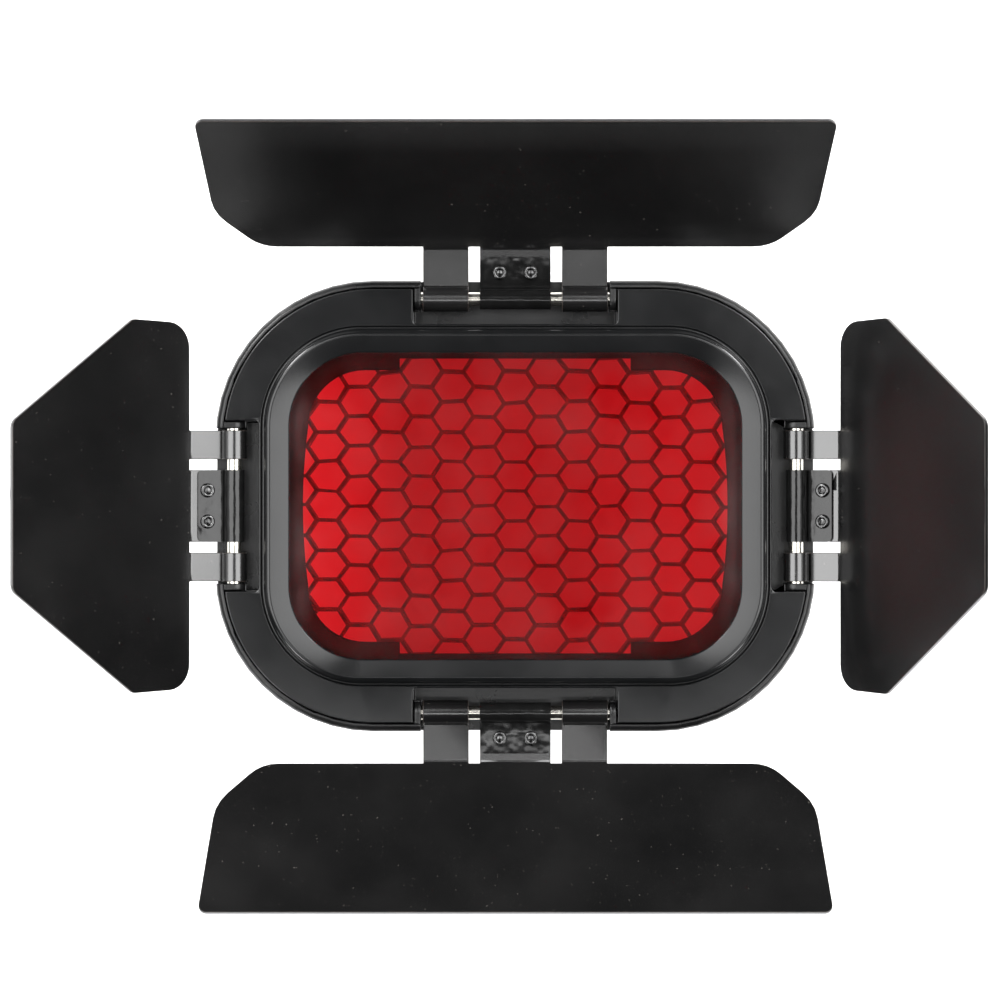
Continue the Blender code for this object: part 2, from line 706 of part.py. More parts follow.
def add_tongue(part, side, turn):
    """Two slits free a tongue of the sleeve's wall, and a rib inside it bites the flash head."""
    inner = RECESS[0] / 2
    outer = SLEEVE[0] / 2
    for name, sign in (("plus", 1), ("minus", -1)):
        middle = sign * TONGUE_HALF
        mesh = box(
            f"slit_{side}_{name}",
            (inner - SLEEVE_WALL, middle - TONGUE_SLIT / 2, -SLEEVE_WALL),
            (outer + SLEEVE_WALL, middle + TONGUE_SLIT / 2, TONGUE_LENGTH),
        )
        combine(part, add_cutter(mesh.name, mesh, around_z(turn)), "DIFFERENCE")
    reach = TONGUE_HALF - HOOK_END_GAP
    hook = cylinder(f"hook_{side}", HOOK_RADIUS, -reach, reach)
    centre = at(inner + HOOK_RADIUS - HOOK_BITE, 0, HOOK_HEIGHT)
    place = around_z(turn) @ centre @ Matrix.Rotation(math.radians(90), 4, "X")
    combine(part, add_cutter(hook.name, hook, place), "UNION")


def cover():
    """The front plate with the raised bezel round the window, and screw bosses behind it."""
    sections = [
        (WINDOW, 0, COVER_REAR),
        (WINDOW, 0, BEZEL_TOP - BEZEL_SLOPE - WINDOW_CHAMFER),
        (WINDOW, WINDOW_CHAMFER, BEZEL_TOP - BEZEL_SLOPE),
        (BEZEL, -BEZEL_ROUND, BEZEL_TOP),
        (BEZEL, -BEZEL_ROUND * 0.3, BEZEL_TOP - BEZEL_ROUND * 0.35),
        (BEZEL, 0, BEZEL_TOP - BEZEL_ROUND),
        (BEZEL, 0, GROOVE_LEVEL),
        (BEZEL, GROOVE_WIDTH - GROOVE_SLOPE, GROOVE_LEVEL),
        (BEZEL, GROOVE_WIDTH, COVER_FACE),
        (FRAME, -RIM_WIDTH - FIT_GAP - COVER_CHAMFER, COVER_FACE),
        (FRAME, -RIM_WIDTH - FIT_GAP, COVER_FACE - COVER_CHAMFER),
        (FRAME, -RIM_WIDTH - FIT_GAP, COVER_REAR),
    ]
    part = add_part("front_cover", ring("front_cover", sections), COVER_PLASTIC)
    for side, (kind, turn, _) in HINGES.items():
        edge = kind["reach"] + PIN_INSET
        half = kind["half_notch"]
        corners = mirrored([(half, edge - POCKET_INSET, NOTCH_CORNER), (half, 2 * edge, 0)])
        notch = prism(f"notch_{side}", [filleted(corners)], 0, 2 * RIM_TOP)
        combine(part, add_cutter(notch.name, notch, around_z(turn)), "DIFFERENCE")
    for number, (x, y) in enumerate(boss_places(), 1):
        boss = cylinder(
            f"boss_{number}", BOSS_RADIUS, BOSS_FOOT, COVER_REAR + COVER_THICKNESS / 2
        )
        bore = cylinder(
            f"boss_bore_{number}", BOSS_BORE_RADIUS, SLEEVE_TOP, COVER_REAR - BOSS_BORE_LEFT
        )
        combine(part, add_cutter(boss.name, boss, at(x, y, 0)), "UNION")
        combine(part, add_cutter(bore.name, bore, at(x, y, 0)), "DIFFERENCE")
    return part


def screws():
    """Countersunk from behind: the head sits in the flange and the shank ends inside a boss."""
    head_low = SLEEVE_TOP + SCREW_SINK
    head_high = head_low + SCREW_HEAD_HEIGHT
    tip = COVER_REAR - BOSS_BORE_LEFT - SCREW_TIP_GAP
    profile = [
        (0, tip),
        (SCREW_SHANK_RADIUS / 2, tip),
        (SCREW_SHANK_RADIUS, tip - SCREW_SHANK_RADIUS),
        (SCREW_SHANK_RADIUS, head_high),
        (SCREW_HEAD_RADIUS, head_high),
        (SCREW_HEAD_RADIUS, head_low + SCREW_HEAD_CHAMFER),
        (SCREW_HEAD_RADIUS - SCREW_HEAD_CHAMFER, head_low),
        (0, head_low),
    ]
    blank = add_part("blank", turned("blank", profile, SCREW_SEGMENTS), SCREW_STEEL)
    slot_half = SCREW_SLOT / 2
    slot_long = SCREW_HEAD_RADIUS * 0.6
    slots = []
    for number, turn in enumerate((0, math.radians(90)), 1):
        mesh = box(
            f"cross_{number}",
            (-slot_long, -slot_half, head_low - SCREW_SLOT_DEPTH),
            (slot_long, slot_half, head_low + SCREW_SLOT_DEPTH),
        )
        slots.append(add_cutter(mesh.name, mesh, around_z(turn)))
        combine(blank, slots[-1], "DIFFERENCE")
    mesh = baked(blank, "cover_screw")
    for slot in slots:
        bpy.data.objects.remove(slot, do_unlink=True)
    for number, (x, y) in enumerate(boss_places(), 1):
        add_part(f"cover_screw_{number}", mesh, SCREW_STEEL, at(x, y, 0))


def filter_plate():
    outline = rounded_rectangle(CASSETTE)
    mesh = prism("color_filter", [outline], FILTER_REAR, FILTER_REAR + FILTER_THICKNESS)
    add_part("color_filter", mesh, RED_FILTER)


def honeycomb_frame():
    """A tray with a lip at its front. The lip's opening has bowed sides and wide notches."""
    blank = prism("honeycomb_frame", [rounded_rectangle(CASSETTE)], GRID_REAR, GRID_FRONT)
    part = add_part("honeycomb_frame", blank, GRID_PLASTIC)
    inside = rounded_rectangle(CASSETTE, -GRID_WALL)
    tray = prism("grid_tray", [inside], GRID_REAR - GRID_LIP, GRID_FRONT - GRID_LIP)
    combine(part, add_cutter(tray.name, tray), "DIFFERENCE")
    side = CASSETTE[0] / 2 - GRID_WALL - GRID_SIDE_INSET
    top = CASSETTE[1] / 2 - GRID_WALL - GRID_TOP_INSET
    notch_top = CASSETTE[1] / 2 - GRID_WALL - GRID_NOTCH_LEFT
    # The bowed side turns by a small angle at its middle, rounded over more than half its length.
    bow_turn = math.atan2(GRID_SIDE_BULGE, top)
    bow_radius = 0.55 * top / math.tan(bow_turn)
    quarter = [
        (side, top, GRID_OPENING_CORNER),
        (GRID_NOTCH_HALF, top, 0),
        (GRID_NOTCH_HALF, notch_top, 0),
    ]
    right_half = [(x, -y, radius) for x, y, radius in reversed(quarter)]
    right_half += [(side + GRID_SIDE_BULGE, 0, bow_radius)] + quarter
    outline = filleted(mirrored(right_half))
    opening = prism("grid_opening", [outline], GRID_REAR, GRID_FRONT + GRID_LIP)
    combine(part, add_cutter(opening.name, opening), "DIFFERENCE")
    return part


def clipped(outline, boundary):
    """The part of a convex outline inside another, both listed counter-clockwise."""
    kept = [Vector(point) for point in outline]
    edges = zip(boundary, boundary[1:] + boundary[:1])
    for start, end in edges:
        start = Vector(start)
        along = Vector(end) - start
        points, kept = kept, []
        for i, point in enumerate(points):
            before = points[i - 1]
            inside = along.cross(point - start)
            inside_before = along.cross(before - start)
            if (inside > 0) != (inside_before > 0):
                share = inside_before / (inside_before - inside)
                kept.append(before.lerp(point, share))
            if inside > 0:
                kept.append(point)
        if not kept:
            return []
    return kept


def area(outline):
    return sum(a.cross(b) for a, b in zip(outline, outline[1:] + outline[:1])) / 2


def cell_outline():
    """A hexagon with level flats, drawn in by half a wall from the cell's centre lines."""
    point_half = CELL_COLUMN_PITCH - CELL_FLAT / 2
    slant = math.atan2(CELL_ROW_PITCH / 2, point_half - CELL_FLAT / 2)
    half = CELL_WALL / 2
    height = CELL_ROW_PITCH / 2 - half
    tip = point_half - half / math.sin(slant)
    flat = tip - height / math.tan(slant)
    return [(tip, 0), (flat, height), (-flat, height), (-tip, 0), (-flat, -height), (flat, -height)]


def honeycomb_core():
    """Foil walls between hexagonal cells, with a band around them."""
    boundary = rounded_rectangle(CORE, -CORE_BAND)
    hexagon = cell_outline()
    columns = math.ceil(CORE[0] / 2 / CELL_COLUMN_PITCH)
    rows = math.ceil(CORE[1] / 2 / CELL_ROW_PITCH)
    outlines = [rounded_rectangle(CORE)]
    for column in range(-columns, columns + 1):
        for row in range(-rows, rows + 1):
            x = column * CELL_COLUMN_PITCH
            y = (row + column % 2 / 2) * CELL_ROW_PITCH
            cell = clipped([(x + dx, y + dy) for dx, dy in hexagon], boundary)
            if cell and area(cell) > CELL_SMALLEST:
                outlines.append([tuple(point) for point in cell])
    mesh = prism("honeycomb_core", outlines, CORE_REAR, CORE_FRONT)
    add_part("honeycomb_core", mesh, GRID_FOIL)


def rivet_mesh():
    """A rivet with a cupped head in front of the clip and a flat tail behind the flap."""
    head_low = -CLIP_BEHIND_AXIS + CLIP_SHEET / 2 + CLOSE_GAP
    head_high = head_low + RIVET_HEAD_HEIGHT
    tail_high = -KNUCKLE_RADIUS - SHEET / 2 - CLOSE_GAP
    tail_low = tail_high - RIVET_TAIL_HEIGHT
    profile = [
        (0, head_high - RIVET_CUP_DEPTH),
        (RIVET_CUP_RADIUS - RIVET_EDGE, head_high - RIVET_CUP_DEPTH),
        (RIVET_CUP_RADIUS, head_high),
        (RIVET_HEAD_RADIUS - RIVET_EDGE, head_high),
        (RIVET_HEAD_RADIUS, head_high - RIVET_EDGE),
        (RIVET_HEAD_RADIUS, head_low),
        (RIVET_SHANK_RADIUS, head_low),
        (RIVET_SHANK_RADIUS, tail_high),
        (RIVET_TAIL_RADIUS, tail_high),
        (RIVET_TAIL_RADIUS, tail_low + RIVET_EDGE),
        (RIVET_TAIL_RADIUS - RIVET_EDGE, tail_low),
        (0, tail_low),
    ]
    return turned("rivet", profile, RIVET_SEGMENTS)


def hinged_flap(side, kind, turn, tilt, rivet):
    """A flap with its spring clip and two rivets, and the pin they turn on."""
    place = hinge_place(kind, turn)
    flap = add_part(f"{side}_flap", flap_mesh(f"{side}_flap", kind, tilt), PAINTED_SHEET, place)
    thicken(flap, SHEET)
    clip_name = f"{side}_friction_clip"
    clip = add_part(clip_name, clip_mesh(clip_name, kind, tilt), SPRING_STEEL, place)
    thicken(clip, CLIP_SHEET)
    lean = Matrix.Rotation(tilt, 4, "X")
    for letter, sign in (("a", -1), ("b", 1)):
        rivet_place = place @ lean @ at(sign * RIVET_SPACING / 2, RIVET_ALONG, 0)
        name = f"{side}_rivet_{letter}"
        add_part(name, rivet, RIVET_STEEL, rivet_place)
        long = 2 * KNUCKLE_RADIUS
        hole = cylinder(f"{name}_hole", RIVET_SHANK_RADIUS + CLOSE_GAP, -long, 0, RIVET_SEGMENTS)
        cutter = add_cutter(hole.name, hole, rivet_place)
        combine(flap, cutter, "DIFFERENCE", "MANIFOLD")
        combine(clip, cutter, "DIFFERENCE", "MANIFOLD")
    reach = kind["half_ears"] + PIN_GRIP
    chamfer = PIN_RADIUS / 6
    profile = [
        (0, reach),
        (PIN_RADIUS - chamfer, reach),
        (PIN_RADIUS, reach - chamfer),
        (PIN_RADIUS, chamfer - reach),
        (PIN_RADIUS - chamfer, -reach),
        (0, -reach),
    ]
    pin = turned(f"{side}_hinge_pin", profile, ROUND_SEGMENTS)
    add_part(f"{side}_hinge_pin", pin, PIN_STEEL, pin_place(kind, turn))


def build():
    housing()
    cover()
    screws()
    filter_plate()
    honeycomb_frame()
    honeycomb_core()
    rivet = rivet_mesh()
    for side, (kind, turn, tilt) in HINGES.items():
        hinged_flap(side, kind, turn, tilt, rivet)


build()
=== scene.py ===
import json
import math

import bmesh
import bpy
from mathutils import Matrix, Vector


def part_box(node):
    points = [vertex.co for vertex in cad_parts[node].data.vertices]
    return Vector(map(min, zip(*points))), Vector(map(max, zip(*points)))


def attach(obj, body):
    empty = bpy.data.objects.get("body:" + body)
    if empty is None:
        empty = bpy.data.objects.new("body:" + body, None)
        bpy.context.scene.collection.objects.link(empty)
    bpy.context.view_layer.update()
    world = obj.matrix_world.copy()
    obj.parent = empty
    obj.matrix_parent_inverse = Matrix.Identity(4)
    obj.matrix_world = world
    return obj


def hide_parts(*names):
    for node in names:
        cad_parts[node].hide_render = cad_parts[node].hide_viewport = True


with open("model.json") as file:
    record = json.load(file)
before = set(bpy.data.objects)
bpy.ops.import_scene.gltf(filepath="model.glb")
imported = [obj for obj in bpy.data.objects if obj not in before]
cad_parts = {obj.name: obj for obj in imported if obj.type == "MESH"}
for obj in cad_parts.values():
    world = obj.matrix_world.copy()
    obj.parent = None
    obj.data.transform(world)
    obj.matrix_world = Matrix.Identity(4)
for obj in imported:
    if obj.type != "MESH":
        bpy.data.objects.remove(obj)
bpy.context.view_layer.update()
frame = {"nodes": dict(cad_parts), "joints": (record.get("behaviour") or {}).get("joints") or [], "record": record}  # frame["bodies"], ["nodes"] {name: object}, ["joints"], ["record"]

mm = 0.001
bodyOf = {node: body for body, nodes in frame["record"]["behaviour"]["bodies"].items() for node in nodes}
print("frame loaded with", len(frame["nodes"]), "nodes")


# shaping tools

def meshObject(name, mesh):
    piece = bpy.data.objects.new(name, mesh)
    bpy.context.scene.collection.objects.link(piece)
    return piece


def toMesh(bm, name):
    bmesh.ops.recalc_face_normals(bm, faces=bm.faces)
    mesh = bpy.data.meshes.new(name)
    bm.to_mesh(mesh)
    bm.free()
    return mesh


def applied(piece):
    # swaps the piece's mesh for what its modifiers make of it
    bpy.context.view_layer.update()
    graph = bpy.context.evaluated_depsgraph_get()
    mesh = bpy.data.meshes.new_from_object(piece.evaluated_get(graph))
    mesh.name = piece.name
    if piece.type != "MESH":
        name = piece.name
        bpy.data.objects.remove(piece, do_unlink=True)
        return meshObject(name, mesh)
    piece.modifiers.clear()
    piece.data = mesh
    return piece


def cut(piece, cutter):
    carve = piece.modifiers.new("carve", "BOOLEAN")
    carve.operation = "DIFFERENCE"
    carve.solver = "EXACT"
    carve.object = cutter
    applied(piece)
    bpy.data.objects.remove(cutter, do_unlink=True)


def flatFaces(piece):
    # smooth shading that leaves the broad faces flat
    piece.data.shade_smooth()
    weighted = piece.modifiers.new("flatFaces", "WEIGHTED_NORMAL")
    weighted.weight = 90
    return applied(piece)


def softened(piece, width, steps=3, limit=30):
    bm = bmesh.new()
    bm.from_mesh(piece.data)
    bmesh.ops.remove_doubles(bm, verts=bm.verts, dist=0.01 * mm)
    bm.to_mesh(piece.data)
    bm.free()
    bevel = piece.modifiers.new("softEdges", "BEVEL")
    bevel.width = width
    bevel.segments = steps
    bevel.limit_method = "ANGLE"
    bevel.angle_limit = math.radians(limit)
    bevel.use_clamp_overlap = False
    bevel.material = 1 if len(piece.data.materials) > 1 else -1
    return flatFaces(applied(piece))


def crisp(piece, rolled=(14, 30)):
    # smooth round the rolled part, where each face turns from the next by such an angle, and flat elsewhere
    low, high = (math.radians(value) for value in rolled)
    bm = bmesh.new()
    bm.from_mesh(piece.data)
    for face in bm.faces:
        face.smooth = any(low < edge.calc_face_angle(0) < high for edge in face.edges)
    bm.to_mesh(piece.data)
    bm.free()
    piece.data.set_sharp_from_angle(angle=high)
    return piece


def finished(piece, nodes):
    # the piece stands for these CAD nodes and rides on their body
    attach(piece, bodyOf[nodes[0]])
    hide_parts(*nodes)
    return piece


def dress(piece, materials):
    piece.data.materials.clear()
    for material in materials:
        piece.data.materials.append(material)


def cadCopy(nodeName, pieceName, materials, seams=None):
    # a CAD node's mesh with its triangles joined into whole faces; seams are the planes, per axis,
    # that stay as edges, so that no face runs all the way round a hole
    bm = bmesh.new()
    bm.from_mesh(frame["nodes"][nodeName].data)
    bmesh.ops.remove_doubles(bm, verts=bm.verts, dist=0.002 * mm)
    for face in bm.faces:
        face.material_index = 0
        face.smooth = False
    for edge in bm.edges:
        edge.smooth = True
    planes = [(axis, place * mm) for axis, places in enumerate(seams or ()) for place in places]
    for axis, place in planes:
        normal = Vector((axis == 0, axis == 1, axis == 2))
        geometry = bm.verts[:] + bm.edges[:] + bm.faces[:]
        bmesh.ops.bisect_plane(bm, geom=geometry, dist=0.001 * mm, plane_co=normal * place, plane_no=normal)
    if seams is not None:
        free = [edge for edge in bm.edges if not any(
            all(abs(vert.co[axis] - place) < 0.002 * mm for vert in edge.verts) for axis, place in planes)]
        bmesh.ops.dissolve_limit(bm, angle_limit=math.radians(0.6), verts=[], edges=free)
    mesh = toMesh(bm, pieceName)
    mesh.attributes.remove(mesh.attributes["custom_normal"])  # the stored normals no longer fit
    piece = meshObject(pieceName, mesh)
    dress(piece, materials)
    return piece


def roundedRectangle(shape, grow=0.0, steps=16):
    width, height, radius = (value * mm for value in shape)
    reach = radius + grow * mm
    points = []
    for quarter, (signX, signY) in enumerate(((1, 1), (-1, 1), (-1, -1), (1, -1))):
        for step in range(steps + 1):
            angle = math.radians(90) * (quarter + step / steps)
            x = signX * (width / 2 - radius) + reach * math.cos(angle)
            y = signY * (height / 2 - radius) + reach * math.sin(angle)
            points.append((x, y))
    return points


def loftedRing(name, sections, steps=32):
    # a closed ring through rounded rectangles, each (shape, growth, height) in millimetres
    bm = bmesh.new()
    loops = []
    for shape, grow, height in sections:
        outline = roundedRectangle(shape, grow, steps)
        loops.append([bm.verts.new((x, y, height * mm)) for x, y in outline])
    for loop, following in zip(loops, loops[1:] + loops[:1]):
        for i in range(len(loop)):
            bm.faces.new((loop[i - 1], loop[i], following[i], following[i - 1]))
    return meshObject(name, toMesh(bm, name))


def roundedPlate(name, outlines, low, high, edge):
    # flat outlines made into a plate with rounded edges; the second and later ones are holes
    curve = bpy.data.curves.new(name, "CURVE")
    curve.dimensions = "2D"
    curve.fill_mode = "BOTH"
    curve.extrude = ((high - low) / 2 - edge) * mm
    curve.bevel_depth = edge * mm
    curve.bevel_resolution = 2
    curve.offset = -edge * mm
    for outline in outlines:
        spline = curve.splines.new("POLY")
        spline.points.add(len(outline) - 1)
        for point, (x, y) in zip(spline.points, outline):
            point.co = (x, y, 0, 1)
        spline.use_cyclic_u = True
    piece = applied(meshObject(name, curve))
    bm = bmesh.new()
    bm.from_mesh(piece.data)
    bmesh.ops.remove_doubles(bm, verts=bm.verts, dist=0.002 * mm)
    bmesh.ops.recalc_face_normals(bm, faces=bm.faces)
    bmesh.ops.translate(bm, vec=(0, 0, (low + high) / 2 * mm), verts=bm.verts)
    bm.to_mesh(piece.data)
    bm.free()
    return flatFaces(piece)


def turned(name, profile, segments=48):
    # turned about Z from (radius, height) points in millimetres, down from the top of the axis
    bm = bmesh.new()
    rings = []
    for radius, height in profile:
        if radius == 0:
            rings.append([bm.verts.new((0, 0, height * mm))] * segments)
            continue
        angles = [math.tau * step / segments for step in range(segments)]
        rings.append([bm.verts.new((radius * mm * math.cos(a), radius * mm * math.sin(a), height * mm)) for a in angles])
    for upper, lower in zip(rings, rings[1:]):
        for i in range(segments):
            corners = dict.fromkeys((upper[i - 1], upper[i], lower[i], lower[i - 1]))
            bm.faces.new(list(corners))
    mesh = toMesh(bm, name)
    mesh.shade_smooth()
    mesh.set_sharp_from_angle(angle=math.radians(50))
    return meshObject(name, mesh)


def joined(name, pieces):
    bm = bmesh.new()
    for piece in pieces:
        bm.from_mesh(piece.data)
        bpy.data.objects.remove(piece, do_unlink=True)
    return meshObject(name, toMesh(bm, name))


# node tools

def newMaterial(name):
    material = bpy.data.materials.new(name)
    material.use_nodes = True
    tree = material.node_tree
    return material, tree, tree.nodes["Principled BSDF"]


def noise(tree, scale, detail=2.0, rough=0.5, stretch=(1, 1, 1)):
    place = tree.nodes.new("ShaderNodeTexCoord")
    mapping = tree.nodes.new("ShaderNodeMapping")
    mapping.inputs["Scale"].default_value = stretch
    texture = tree.nodes.new("ShaderNodeTexNoise")
    texture.inputs["Scale"].default_value = scale
    texture.inputs["Detail"].default_value = detail
    texture.inputs["Roughness"].default_value = rough
    tree.links.new(place.outputs["Object"], mapping.inputs["Vector"])
    tree.links.new(mapping.outputs["Vector"], texture.inputs["Vector"])
    return texture.outputs["Fac"]


def ranged(tree, value, low, high, fromLow=0.3, fromHigh=0.7):
    stretch = tree.nodes.new("ShaderNodeMapRange")
    stretch.inputs["From Min"].default_value = fromLow
    stretch.inputs["From Max"].default_value = fromHigh
    stretch.inputs["To Min"].default_value = low
    stretch.inputs["To Max"].default_value = high
    tree.links.new(value, stretch.inputs["Value"])
    return stretch.outputs["Result"]


def blended(tree, factor, first, second):
    mix = tree.nodes.new("ShaderNodeMix")
    mix.data_type = "RGBA"
    tree.links.new(factor, mix.inputs["Factor"])
    for place, value in ((6, first), (7, second)):
        if isinstance(value, tuple):
            mix.inputs[place].default_value = (*value, 1)
        else:
            tree.links.new(value, mix.inputs[place])
    return mix.outputs[2]


def math2(tree, operation, first, second=None):
    step = tree.nodes.new("ShaderNodeMath")
    step.operation = operation
    tree.links.new(first, step.inputs[0])
    if second is not None:
        tree.links.new(second, step.inputs[1])
    return step.outputs[0]


def places(tree):
    place = tree.nodes.new("ShaderNodeTexCoord")
    split = tree.nodes.new("ShaderNodeSeparateXYZ")
    tree.links.new(place.outputs["Object"], split.inputs["Vector"])
    return split


def outsideBox(tree, half, fade):
    # 0 over the middle of the piece, 1 beyond a box this many millimetres each way
    split = places(tree)
    sides = []
    for axis, reach in zip("XY", half):
        away = math2(tree, "ABSOLUTE", split.outputs[axis])
        sides.append(ranged(tree, away, 0, 1, reach * mm, (reach + fade) * mm))
    return math2(tree, "MAXIMUM", *sides)


def bumped(tree, shader, height, strength, distance):
    bump = tree.nodes.new("ShaderNodeBump")
    bump.inputs["Strength"].default_value = strength
    bump.inputs["Distance"].default_value = distance * mm
    tree.links.new(height, bump.inputs["Height"])
    tree.links.new(bump.outputs["Normal"], shader.inputs["Normal"])


plasticValues = {
    "housing": {"dark": (0.003, 0.003, 0.0032), "light": (0.008, 0.008, 0.0083), "rough": (0.24, 0.36), "grain": 4200, "depth": 0.03},
    "cover": {"dark": (0.0045, 0.0047, 0.0050), "light": (0.0070, 0.0072, 0.0076), "rough": (0.16, 0.21), "grain": 6000, "depth": 0.003},
    "grid": {"dark": (0.006, 0.006, 0.006), "light": (0.014, 0.014, 0.014), "rough": (0.32, 0.5), "grain": 4000, "depth": 0.03},
}


def mouldedPlastic(kind):
    values = plasticValues[kind]
    material, tree, shader = newMaterial(kind + "Plastic")
    smudge = noise(tree, 90, 4, 0.6)
    tree.links.new(blended(tree, ranged(tree, smudge, 0, 1), values["dark"], values["light"]), shader.inputs["Base Color"])
    tree.links.new(ranged(tree, smudge, *values["rough"]), shader.inputs["Roughness"])
    bumped(tree, shader, noise(tree, values["grain"], 2), 0.6, values["depth"])
    return material


paintValues = {"dark": (0.0035, 0.0035, 0.0036), "light": (0.0060, 0.0058, 0.0058), "rough": (0.17, 0.22), "index": 2.0, "grain": 5000, "depth": 0.006}


def satinPaint():
    values = paintValues
    material, tree, shader = newMaterial("satinPaint")
    cloud = noise(tree, 55, 3, 0.55)
    shader.inputs["IOR"].default_value = values["index"]
    speck = ranged(tree, noise(tree, 1900, 1), 0, 1, 0.74, 0.79)  # a few grains of dust in the paint
    paint = blended(tree, ranged(tree, cloud, 0, 1), values["dark"], values["light"])
    tree.links.new(blended(tree, speck, paint, (0.06, 0.055, 0.05)), shader.inputs["Base Color"])
    tree.links.new(ranged(tree, cloud, *values["rough"]), shader.inputs["Roughness"])
    bumped(tree, shader, noise(tree, values["grain"], 2), 0.5, values["depth"])
    return material


def paintedEdge():
    # the cut edges of the sheet are brownish, in patches
    material, tree, shader = newMaterial("paintedEdge")
    brownPatches = noise(tree, 260, 3, 0.6)
    tree.links.new(blended(tree, ranged(tree, brownPatches, 0, 1), (0.010, 0.009, 0.008), (0.035, 0.024, 0.019)), shader.inputs["Base Color"])
    shader.inputs["Roughness"].default_value = 0.38
    return material


steelValues = {
    "clip": {"metal": 0.0, "dark": (0.004, 0.004, 0.004), "light": (0.007, 0.007, 0.007), "rough": (0.10, 0.20), "dent": 480, "depth": 0.13},
    "pin": {"metal": 1.0, "dark": (0.66, 0.63, 0.58), "light": (0.86, 0.83, 0.76), "rough": (0.16, 0.26), "dent": 300, "depth": 0.004},
    "rivet": {"metal": 1.0, "dark": (0.05, 0.05, 0.05), "light": (0.14, 0.14, 0.14), "rough": (0.18, 0.32), "dent": 1200, "depth": 0.02},
    "screw": {"metal": 1.0, "dark": (0.020, 0.020, 0.021), "light": (0.045, 0.045, 0.047), "rough": (0.25, 0.40), "dent": 1500, "depth": 0.01},
}


def steel(kind):
    values = steelValues[kind]
    material, tree, shader = newMaterial(kind + "Steel")
    shader.inputs["Metallic"].default_value = values["metal"]
    patch = noise(tree, values["dent"] * 0.8, 3, 0.6)
    tree.links.new(blended(tree, ranged(tree, patch, 0, 1), values["dark"], values["light"]), shader.inputs["Base Color"])
    tree.links.new(ranged(tree, noise(tree, 900, 4), *values["rough"]), shader.inputs["Roughness"])
    bumped(tree, shader, noise(tree, values["dent"], 1), 0.8, values["depth"])
    return material


filterValues = {"tint": (0.80, 0.010, 0.016), "rough": 0.02, "index": 1.45, "wave": 30, "depth": 0.04, "haze": (0.02, 0.25), "borderHaze": (0.1, 0.9)}


def redFilm():
    values = filterValues
    material, tree, shader = newMaterial("redFilm")
    shader.inputs["Base Color"].default_value = (*values["tint"], 1)
    shader.inputs["Transmission Weight"].default_value = 1
    shader.inputs["Roughness"].default_value = values["rough"]
    shader.inputs["IOR"].default_value = values["index"]
    # scuffs, more of them along the border
    scuffs = noise(tree, 90, 4, 0.6)
    border = math2(tree, "MULTIPLY", outsideBox(tree, (33, 24), 3), ranged(tree, scuffs, *values["borderHaze"]))
    haze = math2(tree, "MAXIMUM", border, ranged(tree, scuffs, *values["haze"]))
    tree.links.new(haze, shader.inputs["Coat Weight"])
    shader.inputs["Coat Roughness"].default_value = 0.45
    bumped(tree, shader, noise(tree, values["wave"], 1), 0.4, values["depth"])
    return material


def blackFoil():
    material, tree, shader = newMaterial("blackFoil")
    streak = noise(tree, 700, 3, 0.6, (1, 1, 0.2))
    tree.links.new(blended(tree, ranged(tree, streak, 0, 1), (0.10, 0.09, 0.09), (0.22, 0.20, 0.20)), shader.inputs["Base Color"])
    shader.inputs["Roughness"].default_value = 0.38
    bumped(tree, shader, streak, 0.5, 0.02)
    return material


housingPlastic = mouldedPlastic("housing")
coverPlastic = mouldedPlastic("cover")
gridPlastic = mouldedPlastic("grid")
flapPaint = satinPaint()
edgePaint = paintedEdge()
clipSteel = steel("clip")
pinSteel = steel("pin")
rivetSteel = steel("rivet")
screwSteel = steel("screw")
filterFilm = redFilm()
gridFoil = blackFoil()
print("materials made")


# the outlines that the moulded pieces share, and the hinges with the lean of their tabs

outlines = {
    "frame": (100, 75.2, 26.3), "window": (75.2, 51, 12.2), "bezel": (83.6, 58.8, 16.2),
    "cassette": (79, 54.8, 14.1),
}
hingeValues = {
    "top": {"turn": 0, "lean": 10.5, "reach": 37.6, "halfNotch": 17.05},
    "left": {"turn": 90, "lean": 12, "reach": 50, "halfNotch": 14.25},
    "bottom": {"turn": 180, "lean": -4, "reach": 37.6, "halfNotch": 17.05},
    "right": {"turn": -90, "lean": 25, "reach": 50, "halfNotch": 14.25},
}


def hingePlace(side):
    joint = next(joint for joint in frame["joints"] if joint["name"] == side + "_hinge")
    return Matrix.Translation(joint["pos_m"]) @ Matrix.Rotation(math.radians(hingeValues[side]["turn"]), 4, "Z")


# housing and cover

def rearHousing():
    screwX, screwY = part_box("cover_screw_1")[0].xy / mm / 2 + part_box("cover_screw_1")[1].xy / mm / 2
    acrossX, acrossY = (hingePlace("right").translation.x / mm, hingePlace("top").translation.y / mm)
    seams = (
        (0, screwX, -screwX, acrossX, -acrossX),
        (0, screwY, -screwY, acrossY, -acrossY),
        (hingePlace("top").translation.z / mm,),
    )
    shell = cadCopy("rear_housing", "housingShell", [housingPlastic], seams)
    finished(softened(shell, 0.18 * mm, 2, 20), ["rear_housing"])


coverValues = {
    "rear": 18.8, "face": 20.4, "bezelTop": 22.0, "bezelSlope": 0.7, "bezelRound": 1.1,
    "grooveDepth": 0.4, "grooveWidth": 0.5, "edgeInset": 1.5, "pocketInset": 7.3, "notchCorner": 0.8,
    "bossRadius": 1.9, "boreRadius": 0.95, "bossFoot": 12.8, "boreTop": 17.5,
}


